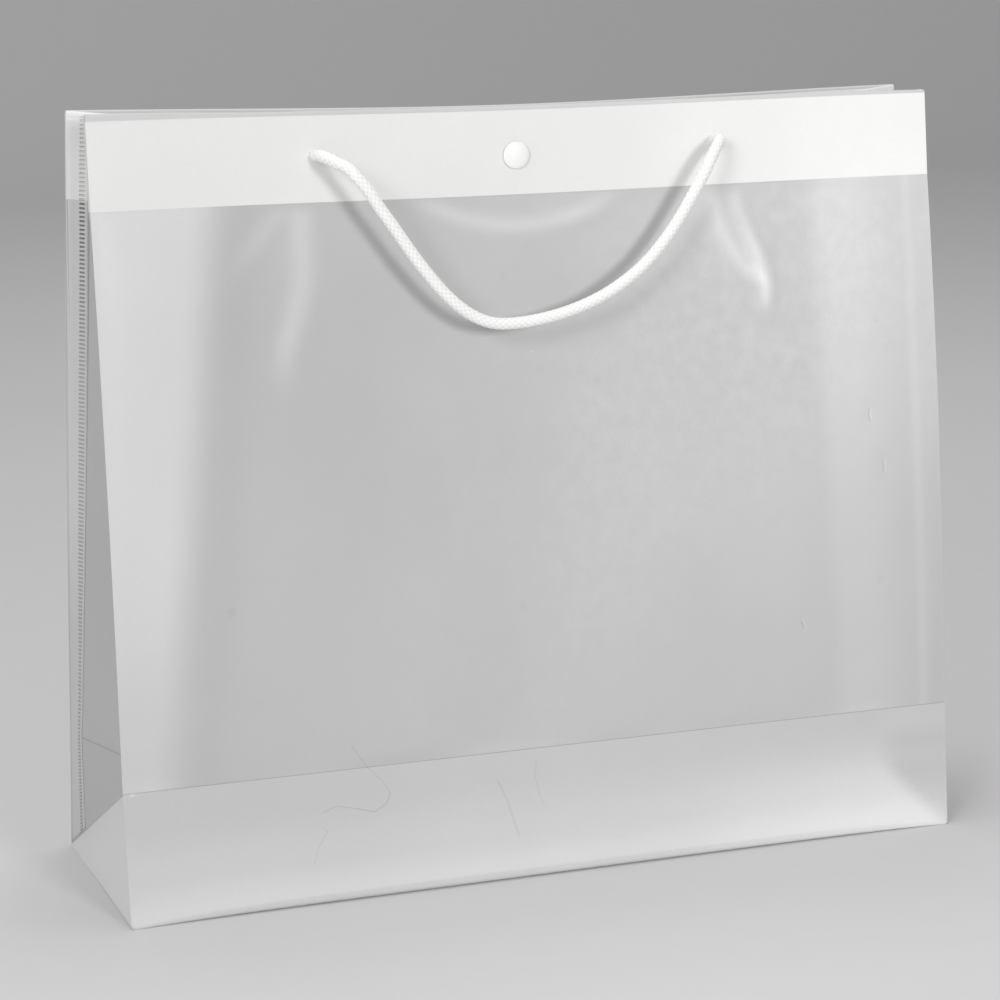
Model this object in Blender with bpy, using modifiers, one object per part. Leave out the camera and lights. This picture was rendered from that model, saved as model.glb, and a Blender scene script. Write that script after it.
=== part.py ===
"""Frosted plastic carrier bag with a block bottom, folded gussets and cord handles.

The bag is one folded sheet of frosted film: a front and a back panel, a gusset folded in
at each side, a flat base, a hem turned in round the mouth, and a flap that laps over the
rear of the left gusset, where the sheet is welded to itself. A white stiffener strip lies
in the front and in the back hem. A cord handle hangs from two punched holes in each
panel, held by a knot inside, and a press snap closes the middle of the mouth.

Lengths are in metres and +Z is up. The bag stands on z = 0 with its front towards -Y.
A height on a panel is measured along the film, because film bends and does not stretch.
"""

from math import cos, pi, radians, sin, sqrt

import bmesh
import bpy
import numpy as np
from mathutils import Matrix, Vector

# The folded sheet
WIDTH = 0.400  # a panel, from side fold to side fold
DEPTH = 0.120  # the base, from front fold to back fold
HEIGHT = 0.350  # base fold to top fold, along the film
CREASE = 0.0595  # base fold to the crease that runs right round the bag
FILM = 0.0004
HEM = 0.040  # film turned in at the mouth
HEM_ROUND = 0.0010  # how far below the top the hem's round fold begins
SIDE_RETURN = 0.0032  # the hem's side fold, wide enough to wrap a stiffener's end
BASE_ROUND = 0.0042  # the soft round of the base's long folds, which ends at the corners
FOLD_IN = 0.0270  # how far a gusset's middle fold is pushed in at the crease
FLAP = 0.0105  # width of the welded flap
FLAP_SINK = 0.00015  # how far the flap's solid runs into the film that it is welded to
FLAP_MARGIN = 0.0005  # from the flap's ends to the sheet's folds

# How the panels lean at the crease, left end and right end, in from the base folds
FRONT_LEAN = (0.0095, 0.0065)
BACK_LEAN = (0.0065, 0.0125)

# The mouth: the snap holds its middle and the gussets push its ends apart
MOUTH_LEFT = 0.0199  # half the opening at the left end
MOUTH_RIGHT = 0.0167  # and at the right end
MOUTH_MID = 0.0012  # the mouth's middle plane, back from the base's

# Slope of a panel just above the crease and just under the hem, as a share of the straight
# line between them, at the side folds and at the snap
RISE_FROM_CREASE = (0.6, 1.1)
RISE_TO_HEM = (1.4, 0.55)

# The stiffener strips
STRIP = 0.0005
STRIP_HEIGHT = 0.0373
STRIP_DROP = 0.0014  # the strip's top edge, below the hem's fold
CLEAR = 0.0003  # between faces that lie on each other

# The cord handles
CORD = 0.0055
HOLE = 0.0063
HOLE_SPREAD = 0.192  # hole to hole
HOLE_DROP = 0.0187  # hole's middle, below the top fold
CORD_STEP = 2.6  # distance between the cord's points, in cord diameters
KNOT_WIDTH = 0.0118
KNOT_THICK = 0.0052

# The press snap
SNAP_DROP = 0.0215  # snap's middle, below the top fold
SNAP_GAP = 0.0048  # between the two hems' inner faces at the snap
CAP = 0.0124
CAP_DOME = 0.0022
CAP_RIM = 0.0007
POST = 0.0030
POST_HEAD = 0.0040
POST_HEAD_THICK = 0.0005
SOCKET = 0.0104
SOCKET_THICK = 0.0023
SOCKET_BORE = 0.0064
STUD_BASE = 0.0096
STUD_BASE_THICK = 0.0010
STUD_RING = 0.0056
STUD_RING_THICK = 0.0019
STUD_BORE = 0.0048  # takes the rivet head
FLOOR_OF_CUP = 0.0008  # material under a rivet head, in the socket and in the stud

COLUMNS = 16  # panel divisions from side to side
BODY_ROWS = 5  # panel divisions from the crease to the hem
GUSSET_LINES = (SIDE_RETURN, FLAP + FLAP_MARGIN, 0.030, 0.046)  # divisions of half a gusset
ROUND_PARTS = 32  # sides of a round piece

HALF = WIDTH / 2
UPPER = HEIGHT - CREASE  # film above the crease
BODY = UPPER - HEM  # film between the crease and the hem's free edge
PANEL_HEM = 2 * FILM + STRIP + 2 * CLEAR  # depth of a hem with a strip in it
GUSSET_HEM = 2 * FILM + CLEAR  # depth of a hem without one
SNAP_HALF = SNAP_GAP / 2 + PANEL_HEM  # panel's outer face from the mouth's middle plane

# Hand-chosen route of a handle between its holes: right of the middle, out from the panel's
# outer face at the hole, and below the hole. The rear handle's is the same, turned half round.
ROUTE = [
    (-0.0908, 0.0185, 0.0018),
    (-0.0871, 0.0218, 0.0040),
    (-0.0842, 0.0232, 0.0074),
    (-0.0799, 0.0238, 0.0123),
    (-0.0737, 0.0238, 0.0215),
    (-0.0682, 0.0237, 0.0290),
    (-0.0618, 0.0236, 0.0382),
    (-0.0559, 0.0236, 0.0463),
    (-0.0458, 0.0235, 0.0585),
    (-0.0382, 0.0235, 0.0659),
    (-0.0307, 0.0234, 0.0712),
    (-0.0231, 0.0234, 0.0745),
    (-0.0151, 0.0233, 0.0757),
    (-0.0003, 0.0232, 0.0748),
    (0.0163, 0.0230, 0.0714),
    (0.0319, 0.0228, 0.0656),
    (0.0460, 0.0223, 0.0574),
    (0.0566, 0.0218, 0.0485),
    (0.0678, 0.0208, 0.0356),
    (0.0755, 0.0198, 0.0246),
    (0.0837, 0.0180, 0.0122),
    (0.0880, 0.0158, 0.0058),
    (0.0915, 0.0128, 0.0020),
]


def smooth_share(x):
    """Square of the distance from the middle, 0 at the snap and 1 at a side fold."""
    return np.minimum(abs(x) / HALF, 1) ** 2


def mouth_half(x):
    """Half the mouth's opening at x: each half of a panel bends like a beam from the snap."""
    end = np.where(x < 0, MOUTH_LEFT, MOUTH_RIGHT)
    share = abs(x) / HALF
    return SNAP_HALF + (end - SNAP_HALF) * (3 * share**2 - share**3) / 2


def lean_at(x, side):
    """How far a panel leans in at the crease."""
    left, right = FRONT_LEAN if side < 0 else BACK_LEAN
    return left + (right - left) * (x + HALF) / WIDTH


def panel_inward(x, s, side):
    """How far in from its crease a panel has come at film height s above the crease.

    A cubic runs from the crease to the hem's free edge, and the hem goes on straight: it is
    upright at the snap and keeps the panel's lean at the side folds.
    """
    total = DEPTH / 2 - lean_at(x, side) - mouth_half(x) - side * MOUTH_MID
    share = smooth_share(x)
    hem_slope = share * total / UPPER
    at_hem = total - hem_slope * HEM
    leave, arrive = (
        (mid + (end - mid) * share) * at_hem for end, mid in (RISE_FROM_CREASE, RISE_TO_HEM)
    )
    t = np.minimum(s, BODY) / BODY
    cubic = at_hem * (3 * t**2 - 2 * t**3) + leave * (t**3 - 2 * t**2 + t) + arrive * (t**3 - t**2)
    return cubic + hem_slope * np.maximum(s - BODY, 0)


def panel_points(x, heights, side):
    """Points of a panel's outer face, an array of height by column by XYZ.

    Each step up the film keeps its length, so the height gained is what the step inwards
    leaves of it.
    """
    x = np.asarray(x, float)
    fine = np.union1d(np.linspace(0, UPPER, 60), heights)
    inward = np.array([panel_inward(x, s, side) for s in fine])
    rise = np.sqrt(np.diff(fine)[:, None] ** 2 - np.diff(inward, axis=0) ** 2)
    lean = lean_at(x, side)
    z = np.sqrt(CREASE**2 - lean**2) + np.vstack([np.zeros_like(x), np.cumsum(rise, axis=0)])
    pick = np.searchsorted(fine, heights)
    y = side * (DEPTH / 2 - lean - inward[pick])
    return np.stack([np.broadcast_to(x, y.shape), y, z[pick]], axis=2)


def panel_point(x, s, side):
    """One point of a panel's outer face."""
    return panel_points([x], [s], side)[0, 0]


def panel_normal(x, s, side):
    """The panel's outward direction at a point of its hem."""
    step = 0.001
    along = panel_point(x + step, s, side) - panel_point(x - step, s, side)
    up = panel_point(x, s, side) - panel_point(x, s - step, side)
    out = np.cross(along, up) * -side
    return Vector(out).normalized()


def middle_fold(heights, hand):
    """Points of a gusset's middle fold above the crease; hand is -1 at the left."""
    mouth = MOUTH_LEFT if hand < 0 else MOUTH_RIGHT
    low = np.array([FOLD_IN, 0, sqrt((DEPTH / 2) ** 2 - FOLD_IN**2)])
    reach = sqrt((DEPTH / 2 - SIDE_RETURN) ** 2 - (mouth - SIDE_RETURN) ** 2)
    top = np.array([reach, MOUTH_MID, 0])
    top[2] = low[2] + sqrt(UPPER**2 - (top[0] - low[0]) ** 2)
    t = np.asarray(heights)[:, None] / UPPER
    line = low + (top - low) * t
    return line * [-hand, 1, 1] + [hand * HALF, 0, 0]


def offset_ring(ring, depths):
    """A closed ring of points moved inwards, each edge by its own depth, at the same height.

    ring runs anticlockwise seen from above, and depths[i] belongs to the edge that leaves
    point i. Each point moves to where its two moved edges meet.
    """
    edge = np.roll(ring, -1, axis=0)[:, :2] - ring[:, :2]
    inward = np.stack([-edge[:, 1], edge[:, 0]], axis=1) / np.linalg.norm(edge, axis=1)[:, None]
    before, depth_before = np.roll(inward, 1, axis=0), np.roll(depths, 1)
    dot = (before * inward).sum(1)
    even = (before + inward) * (depths / (1 + dot))[:, None]
    across = before[:, 0] * inward[:, 1] - before[:, 1] * inward[:, 0]
    across = np.where(abs(across) < 1e-6, 1, across)
    met = np.stack(
        [
            (depth_before * inward[:, 1] - depths * before[:, 1]) / across,
            (depths * before[:, 0] - depth_before * inward[:, 0]) / across,
        ],
        axis=1,
    )
    move = np.where((depths == depth_before)[:, None], even, met)
    return ring + np.hstack([move, np.zeros((len(ring), 1))])


def half_gusset(fold, middle, heights, distances, side):
    """Points on half a gusset at distances from its fold with a panel, along the film.

    At the crease the half is flat from the panel's fold to the middle fold. Higher up its
    first few millimetres turn back more and more, and in the hem they run straight back, to
    make room for the stiffener's end.
    """
    straight = middle - fold
    straight /= np.linalg.norm(straight, axis=1)[:, None]
    turn = np.minimum(np.asarray(heights) / BODY, 1)[:, None] ** 2
    way = straight * (1 - turn) + np.array([0, -side, 0]) * turn
    first = fold + way / np.linalg.norm(way, axis=1)[:, None] * SIDE_RETURN
    points = []
    for u in distances:
        near = fold + (first - fold) * min(u / SIDE_RETURN, 1)
        along = max(u - SIDE_RETURN, 0) / (DEPTH / 2 - SIDE_RETURN)
        points.append(near + (middle - first) * along)
    return np.stack(points, axis=1)


def ring_at(x, heights):
    """Closed rings round the bag at film heights above the crease, height by point by XYZ.

    Each runs along the front, round the right gusset, back along the back panel and round
    the left gusset.
    """
    front = panel_points(x, heights, -1)
    back = panel_points(x, heights, 1)[:, ::-1]
    halves = []
    for fold, hand, side in (
        (front[:, -1], 1, -1),
        (back[:, 0], 1, 1),
        (back[:, -1], -1, 1),
        (front[:, 0], -1, -1),
    ):
        middle = middle_fold(heights, hand)
        halves.append(half_gusset(fold, middle, heights, GUSSET_LINES, side))
    right, left = middle_fold(heights, 1)[:, None], middle_fold(heights, -1)[:, None]
    right_side = [halves[0], right, halves[1][:, ::-1]]
    left_side = [halves[2], left, halves[3][:, ::-1]]
    return np.concatenate([front, *right_side, back, *left_side], axis=1)


def base_rings(x, crease_ring):
    """Three rings that round the base's long folds, from under the base up the panels.

    Under a gusset a ring has only the base's corners and the middle of its side, which
    makes the gusset's lower end the slanting triangles that the base folds from.
    """
    n = len(x)
    deep = DEPTH / 2
    rise = [-deep] * len(GUSSET_LINES) + [0] + [deep] * len(GUSSET_LINES)
    corner = np.zeros_like(crease_ring)
    corner[:, 0] = np.concatenate([x, [HALF] * len(rise), x[::-1], [-HALF] * len(rise)])
    corner[:, 1] = [-deep] * n + rise + [deep] * n + rise[::-1]
    soft = BASE_ROUND * (1 - (abs(x) / HALF) ** 6)
    sharp = [0] * len(rise)
    size = np.concatenate([soft, sharp, soft[::-1], sharp])[:, None]
    up = crease_ring - corner
    up /= np.linalg.norm(up, axis=1)[:, None]
    across = np.sign(corner) * [0, -1, 0]
    low = corner + across * size
    high = corner + up * size
    return np.stack([low, (low + 2 * corner + high) / 4, high])


def sheet_mesh():
    """The outer face of the whole folded sheet, as one open surface with its faces out."""
    x = np.linspace(-HALF, HALF, COLUMNS + 1)
    n = len(x)
    right_fold = n + len(GUSSET_LINES)  # place of a gusset's middle fold in a ring
    back_start = right_fold + len(GUSSET_LINES) + 1
    left_fold = back_start + n + len(GUSSET_LINES)
    heights = np.append(np.linspace(0, BODY, BODY_ROWS + 1), UPPER - HEM_ROUND)
    walls = ring_at(x, heights)
    crest = ring_at(x, [UPPER])[0]
    depths = np.full(len(crest), GUSSET_HEM)
    depths[: n - 1] = depths[back_start : back_start + n - 1] = PANEL_HEM
    hem = [offset_ring(crest, depths / 2)]
    hem += [offset_ring(walls[k], depths) for k in (-1, -2)]
    rings = np.concatenate([base_rings(x, walls[0]), walls, hem])
    crease_row, crest_row = 3, 3 + len(walls)

    bm = bmesh.new()
    grid = [[bm.verts.new(p) for p in ring] for ring in rings]
    size = len(crest)
    for k in range(len(grid) - 1):
        for i in range(size):
            j = (i + 1) % size
            a, b, c, d = grid[k][i], grid[k][j], grid[k + 1][j], grid[k + 1][i]
            falling = k >= crest_row or (k == crease_row - 1 and i in (right_fold, left_fold))
            pair = ((a, b, d), (b, c, d)) if falling else ((a, b, c), (a, c, d))
            for face in pair:
                bm.faces.new(face)
    front = grid[0][:n]
    back = grid[0][back_start : back_start + n][::-1]
    for i in range(COLUMNS):
        face = [front[i], back[i], back[i + 1], front[i + 1]]
        if i == 0:
            face.insert(1, grid[0][left_fold])
        if i == COLUMNS - 1:
            face.insert(len(face) - 1, grid[0][right_fold])
        bm.faces.new(face)
    bmesh.ops.remove_doubles(bm, verts=bm.verts, dist=1e-6)
    bmesh.ops.dissolve_degenerate(bm, edges=bm.edges, dist=1e-6)
    return to_mesh(bm, "bag_sheet")


def flap_mesh():
    """The face of the left gusset's rear half that the welded flap lies on.

    The flap runs from the back panel's fold to its own free edge. Its lower end is cut
    along the gusset's slanting crease.
    """
    heights = np.append(np.linspace(0, BODY, BODY_ROWS + 1), UPPER - 2 * HEM_ROUND)
    lines = np.array([FLAP_MARGIN, SIDE_RETURN, FLAP])
    fold = panel_points([-HALF], heights, 1)[:, 0]
    middle = middle_fold(heights, -1)
    wall = half_gusset(fold, middle, heights, lines, 1)
    base = np.array([-HALF, DEPTH / 2, 0])
    slant = (middle[0] - base) * lines[:, None] / (DEPTH / 2)
    up = (fold[0] - base) * 3 * FLAP_MARGIN / CREASE
    grid = np.concatenate([(base + slant + up)[None], wall])
    bm = bmesh.new()
    rows = [[bm.verts.new(p) for p in row] for row in grid]
    for low, high in zip(rows, rows[1:]):
        for a, b, c, d in zip(low, low[1:], high[1:], high):
            bm.faces.new((a, b, c))
            bm.faces.new((a, c, d))
    return to_mesh(bm, "flap")


def strip_mesh(side):
    """A stiffener strip's face next to the outer film, as an open surface."""
    end = HALF - FILM - CLEAR
    x = np.linspace(-end, end, COLUMNS + 1)
    top = UPPER - STRIP_DROP
    points = panel_points(x, np.linspace(top - STRIP_HEIGHT, top, 4), side)
    points[:, :, 1] -= side * (FILM + CLEAR)
    bm = bmesh.new()
    grid = [[bm.verts.new(p) for p in row] for row in points]
    for low, high in zip(grid, grid[1:]):
        for i in range(COLUMNS):
            face = (low[i], low[i + 1], high[i + 1], high[i])
            bm.faces.new(face if side < 0 else face[::-1])
    return to_mesh(bm, "strip")


def to_mesh(bm, name):
    """Turn a bmesh into a mesh."""
    mesh = bpy.data.meshes.new(name)
    bm.to_mesh(mesh)
    bm.free()
    return mesh


def finish(name, colour, roughness, alpha=1.0):
    """A plain material."""
    material = bpy.data.materials.new(name)
    material.use_nodes = True
    shader = material.node_tree.nodes["Principled BSDF"]
    shader.inputs["Base Color"].default_value = (*colour, 1)
    shader.inputs["Roughness"].default_value = roughness
    shader.inputs["Alpha"].default_value = alpha
    return material


def add(name, data, collection, material=None):
    """Put a mesh or a curve in the scene as a named object."""
    piece = bpy.data.objects.new(name, data)
    collection.objects.link(piece)
    if material:
        data.materials.append(material)
    return piece


def turned(name, profile, collection, material):
    """A round piece from its profile of radius and height, which runs down its outer side."""
    mesh = bpy.data.meshes.new(name)
    edges = [(i, i + 1) for i in range(len(profile) - 1)]
    mesh.from_pydata([(r, 0, z) for r, z in profile], edges, [])
    piece = add(name, mesh, collection, material)
    turn = piece.modifiers.new("turn", "SCREW")
    turn.steps = turn.render_steps = ROUND_PARTS
    turn.use_merge_vertices = True
    turn.merge_threshold = 1e-5
    return piece


def frame_on(x, s, side):
    """A frame on a panel's outer face, with +Z straight out of it and +Y up the panel."""
    out = panel_normal(x, s, side)
    up = (Vector((0, 0, 1)) - out * out.z).normalized()
    turn = Matrix((up.cross(out), up, out)).transposed().to_4x4()
    return Matrix.Translation(panel_point(x, s, side)) @ turn


def punch(name, diameter, frame, cutters, targets):
    """Cut a round hole through a hem and its strip."""
    bm = bmesh.new()
    bmesh.ops.create_cone(
        bm,
        cap_ends=True,
        segments=ROUND_PARTS,
        radius1=diameter / 2,
        radius2=diameter / 2,
        depth=4 * PANEL_HEM,
    )
    cutter = add(name, to_mesh(bm, name), cutters)
    cutter.matrix_world = frame @ Matrix.Translation((0, 0, -PANEL_HEM / 2))
    cutter.hide_render = True
    cutter.display_type = "WIRE"
    for target in targets:
        cut = target.modifiers.new(name, "BOOLEAN")
        cut.operation = "DIFFERENCE"
        cut.object = cutter


def through(points, step):
    """Evenly spaced points along a smooth curve through hand-chosen ones."""
    p = np.array(points, float)
    p = np.vstack([2 * p[0] - p[1], p, 2 * p[-1] - p[-2]])
    knots = np.append(0, np.cumsum(np.linalg.norm(np.diff(p, axis=0), axis=1) ** 0.5))
    fine = []
    for i in range(1, len(p) - 2):
        t = np.linspace(knots[i], knots[i + 1], 24, endpoint=i == len(p) - 3)[:, None]
        k = knots[i - 1 : i + 3]
        q = p[i - 1 : i + 3]
        for level in (1, 2, 3):
            q = [
                ((k[j + level] - t) * q[j] + (t - k[j]) * q[j + 1]) / (k[j + level] - k[j])
                for j in range(4 - level)
            ]
        fine.append(q[0])
    fine = np.vstack(fine)
    along = np.append(0, np.cumsum(np.linalg.norm(np.diff(fine, axis=0), axis=1)))
    at = np.linspace(0, along[-1], round(along[-1] / step) + 1)
    return np.stack([np.interp(at, along, fine[:, i]) for i in range(3)], axis=1)


def handle_line(side):
    """The middle line of a handle, from one hole's inner end to the other's."""
    s = UPPER - HOLE_DROP
    ends = []
    for hand in (-1, 1):
        frame = frame_on(hand * HOLE_SPREAD / 2, s, side)
        ends.append([frame @ Vector((0, 0, out)) for out in (-PANEL_HEM, 0, CORD, 1.4 * CORD)])
    hole = panel_point(HOLE_SPREAD / 2, s, side)
    route = [Vector((x, hole[1] + side * out, hole[2] - down)) for x, out, down in ROUTE]
    if side > 0:
        route = [Vector((-p.x, p.y, p.z)) for p in route][::-1]
    return ends[0] + route + ends[1][::-1]


def add_handle(name, side, collection, material):
    """A cord handle as a tube with closed ends."""
    curve = bpy.data.curves.new(name, "CURVE")
    curve.dimensions = "3D"
    curve.bevel_depth = CORD / 2
    curve.bevel_resolution = 3
    curve.use_fill_caps = True
    points = through(handle_line(side), CORD_STEP * CORD)
    spline = curve.splines.new("POLY")
    spline.points.add(len(points) - 1)
    for point, place in zip(spline.points, points):
        point.co = (*place, 1)
    return add(name, curve, collection, material)


def add_knot(name, x, side, collection, material):
    """A handle's flattened knot, drawn up against the inside of the hem."""
    bm = bmesh.new()
    bmesh.ops.create_uvsphere(bm, u_segments=16, v_segments=8, radius=0.5)
    knot = add(name, to_mesh(bm, name), collection, material)
    knot.data.transform(Matrix.Diagonal((KNOT_WIDTH, KNOT_WIDTH, KNOT_THICK, 1)))
    depth = PANEL_HEM + CLEAR + KNOT_THICK / 2
    frame = frame_on(x, UPPER - HOLE_DROP, side)
    knot.matrix_world = frame @ Matrix.Translation((0, 0, -depth))
    return knot


def riveted(outer, head_base):
    """Profile of a cap on its post, down to the rivet head that holds it."""
    return outer + [
        (POST / 2, SNAP_HALF + CLEAR),
        (POST / 2, head_base),
        (POST_HEAD / 2, head_base),
        (POST_HEAD / 2, head_base - POST_HEAD_THICK),
        (0, head_base - POST_HEAD_THICK),
    ]


def snap_height(side):
    """The snap's film height on a panel, which puts both its halves at the same level."""
    s = UPPER - SNAP_DROP
    return s + panel_point(0, s, -1)[2] - panel_point(0, s, side)[2]


def add_snap(collection, material):
    """The snap's four pieces; heights in their profiles run out from the mouth's middle."""
    seat = SNAP_HALF + CLEAR
    dome = [
        (CAP / 2 * sin(a), seat + CAP_RIM + (CAP_DOME - CAP_RIM) * cos(a))
        for a in np.linspace(0, pi / 2, 6)
    ]
    cap = dome + [(CAP / 2, seat)]
    inner = SNAP_GAP / 2 - CLEAR  # where the socket and the stud sit against the hems
    hole = POST / 2 + CLEAR
    head_base = inner - FLOOR_OF_CUP - CLEAR
    socket = [
        (hole, inner),
        (SOCKET / 2, inner),
        (SOCKET / 2, inner - SOCKET_THICK),
        (SOCKET_BORE / 2, inner - SOCKET_THICK),
        (SOCKET_BORE / 2, inner - FLOOR_OF_CUP),
        (hole, inner - FLOOR_OF_CUP),
        (hole, inner),
    ]
    ring_end = inner - STUD_BASE_THICK - STUD_RING_THICK
    stud = [
        (hole, inner),
        (STUD_BASE / 2, inner),
        (STUD_BASE / 2, inner - STUD_BASE_THICK),
        (STUD_RING / 2, inner - STUD_BASE_THICK),
        (STUD_RING / 2, ring_end),
        (STUD_BORE / 2, ring_end),
        (STUD_BORE / 2, inner - FLOOR_OF_CUP),
        (hole, inner - FLOOR_OF_CUP),
        (hole, inner),
    ]
    for side, pieces in (
        (-1, {"snap_front_cap": riveted(cap, head_base), "snap_socket": socket}),
        (1, {"snap_back_cap": riveted(cap, head_base), "snap_stud": stud}),
    ):
        height = panel_point(0, snap_height(side), side)[2]
        for name, profile in pieces.items():
            piece = turned(name, profile, collection, material)
            piece.location = (0, MOUTH_MID, height)
            piece.rotation_euler = (radians(90) * -side, 0, 0)


def main():
    """Build the bag."""
    for old in list(bpy.data.objects):
        bpy.data.objects.remove(old)
    collections = []
    for name in ("plastic_carrier_bag", "cutters"):
        collections.append(bpy.data.collections.new(name))
        bpy.context.scene.collection.children.link(collections[-1])
    bag, cutters = collections
    film = finish("frosted_film", (0.80, 0.80, 0.80), 0.45, 0.75)
    white_strip = finish("white_strip", (0.86, 0.86, 0.85), 0.5)
    cord = finish("white_cord", (0.88, 0.88, 0.87), 0.7)
    snap = finish("white_snap", (0.90, 0.90, 0.89), 0.25)

    sheet = add("bag_sheet", sheet_mesh(), bag, film)
    wall = sheet.modifiers.new("film", "SOLIDIFY")
    wall.thickness = FILM
    wall.offset = -1
    wall.use_even_offset = True
    flap = add("flap", flap_mesh(), cutters)
    flap.hide_render = True
    flap.display_type = "WIRE"
    lap = flap.modifiers.new("lap", "SOLIDIFY")
    lap.thickness = FILM + FLAP_SINK
    lap.offset = (FILM - FLAP_SINK) / lap.thickness

    for side, word in ((-1, "front"), (1, "back")):
        strip = add(f"{word}_stiffener", strip_mesh(side), bag, white_strip)
        board = strip.modifiers.new("board", "SOLIDIFY")
        board.thickness = STRIP
        board.offset = -1
        for hand, end in ((-1, "left"), (1, "right")):
            x = hand * HOLE_SPREAD / 2
            frame = frame_on(x, UPPER - HOLE_DROP, side)
            punch(f"{word}_{end}_hole", HOLE, frame, cutters, (sheet, strip))
            add_knot(f"{word}_{end}_knot", x, side, bag, cord)
        frame = frame_on(0, snap_height(side), side)
        punch(f"{word}_snap_hole", POST + 2 * CLEAR, frame, cutters, (sheet, strip))
        add_handle(f"{word}_handle_cord", side, bag, cord)
    weld = sheet.modifiers.new("weld", "BOOLEAN")
    weld.operation = "UNION"
    weld.object = flap
    add_snap(bag, snap)


main()
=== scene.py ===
"""Frosted plastic carrier bag with cord handles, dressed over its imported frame.

Lengths are in metres, +Z is up and the front panel faces -Y. A height on the film is
measured along it, because film bends and does not stretch.
"""

import logging
from dataclasses import dataclass
from enum import Enum
from math import pi, radians

import bmesh
import bpy
import numpy as np
from mathutils import Matrix, Vector
from numpy.typing import NDArray


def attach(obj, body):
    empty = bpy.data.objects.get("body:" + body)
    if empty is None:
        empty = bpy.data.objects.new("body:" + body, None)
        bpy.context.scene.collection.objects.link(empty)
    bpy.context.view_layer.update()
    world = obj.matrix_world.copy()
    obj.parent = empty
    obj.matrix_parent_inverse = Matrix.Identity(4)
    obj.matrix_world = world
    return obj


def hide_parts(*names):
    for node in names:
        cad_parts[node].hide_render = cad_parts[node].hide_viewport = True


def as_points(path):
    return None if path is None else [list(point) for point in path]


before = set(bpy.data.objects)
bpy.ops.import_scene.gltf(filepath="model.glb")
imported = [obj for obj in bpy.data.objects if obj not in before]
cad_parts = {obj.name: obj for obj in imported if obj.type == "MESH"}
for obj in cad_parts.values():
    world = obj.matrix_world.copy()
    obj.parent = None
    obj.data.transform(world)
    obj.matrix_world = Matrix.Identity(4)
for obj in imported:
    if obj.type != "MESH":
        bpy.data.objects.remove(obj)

Array = NDArray[np.float64]
Pair, Triple = tuple[float, float], tuple[float, float, float]
Socket, Piece = bpy.types.NodeSocket, bpy.types.Object
Material, Mesh = bpy.types.Material, bpy.types.Mesh

log = logging.getLogger("carrier_bag")


class Side(Enum):
    """A panel of the bag, by the sign of its y."""

    FRONT = -1
    BACK = 1


class Hand(Enum):
    """An end of a panel, by the sign of its x."""

    LEFT = -1
    RIGHT = 1


def ease(low: float, high: float, value: Array) -> Array:
    """Rise smoothly from 0 at low to 1 at high, as 3t^2 - 2t^3; low may be above high."""
    t = np.clip((value - low) / (high - low), 0, 1)
    return t * t * (3 - 2 * t)


def unit(vectors: Array) -> Array:
    """Vectors made of length 1, along the last axis."""
    return vectors / np.linalg.norm(vectors, axis=-1, keepdims=True)


def bump(value: Array, middle: Array | float, width: float) -> Array:
    """A bell curve, 1 at its middle: exp(-((value - middle) / width)^2)."""
    return np.exp(-(((value - middle) / width) ** 2))


def grid_faces(rows: int, columns: int, closed: bool = False) -> NDArray[np.int64]:
    """Quads between neighbouring rows and columns of a grid of points.

    They are anticlockwise where columns run right and rows run up. In a closed grid, each
    row's last point joins its first.
    """
    i = np.arange(rows - 1)[:, None] * columns
    j = np.arange(columns if closed else columns - 1)[None, :]
    k = (j + 1) % columns
    return np.stack([i + j, i + k, i + columns + k, i + columns + j], axis=-1).reshape(-1, 4)


def to_object(name: str, points: Array, faces: NDArray[np.int64]) -> Piece:
    """Put points and faces of four into a new object at the origin, shaded smooth."""
    mesh = bpy.data.meshes.new(name)
    mesh.from_pydata(points.reshape(-1, 3), [], faces.tolist())
    piece = bpy.data.objects.new(name, mesh)
    bpy.context.scene.collection.objects.link(piece)
    mesh.shade_smooth()
    return piece


def weld(mesh: Mesh, distance: float, outward: bool = False) -> None:
    """Merge a mesh's doubles, remove its faces without area, and turn a closed one's outwards."""
    bm = bmesh.new()
    bm.from_mesh(mesh)
    bmesh.ops.remove_doubles(bm, verts=bm.verts, dist=distance)
    bmesh.ops.dissolve_degenerate(bm, edges=bm.edges, dist=distance)
    if outward:
        bmesh.ops.recalc_face_normals(bm, faces=bm.faces)
    bm.to_mesh(mesh)
    bm.free()
    mesh.shade_smooth()


def give_values(mesh: Mesh, name: str, values: Array) -> None:
    """Store one number a point as an attribute."""
    layer = mesh.attributes.new(name, "FLOAT", "POINT")
    layer.data.foreach_set("value", values.astype(np.float32).ravel())


def thicken(piece: Piece, thickness: float, offset: float = -1) -> None:
    """Give an open surface a wall: inwards from it where offset is -1."""
    wall = piece.modifiers.new("wall", "SOLIDIFY")
    wall.thickness = thickness
    wall.offset = offset
    wall.use_even_offset = True


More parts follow.
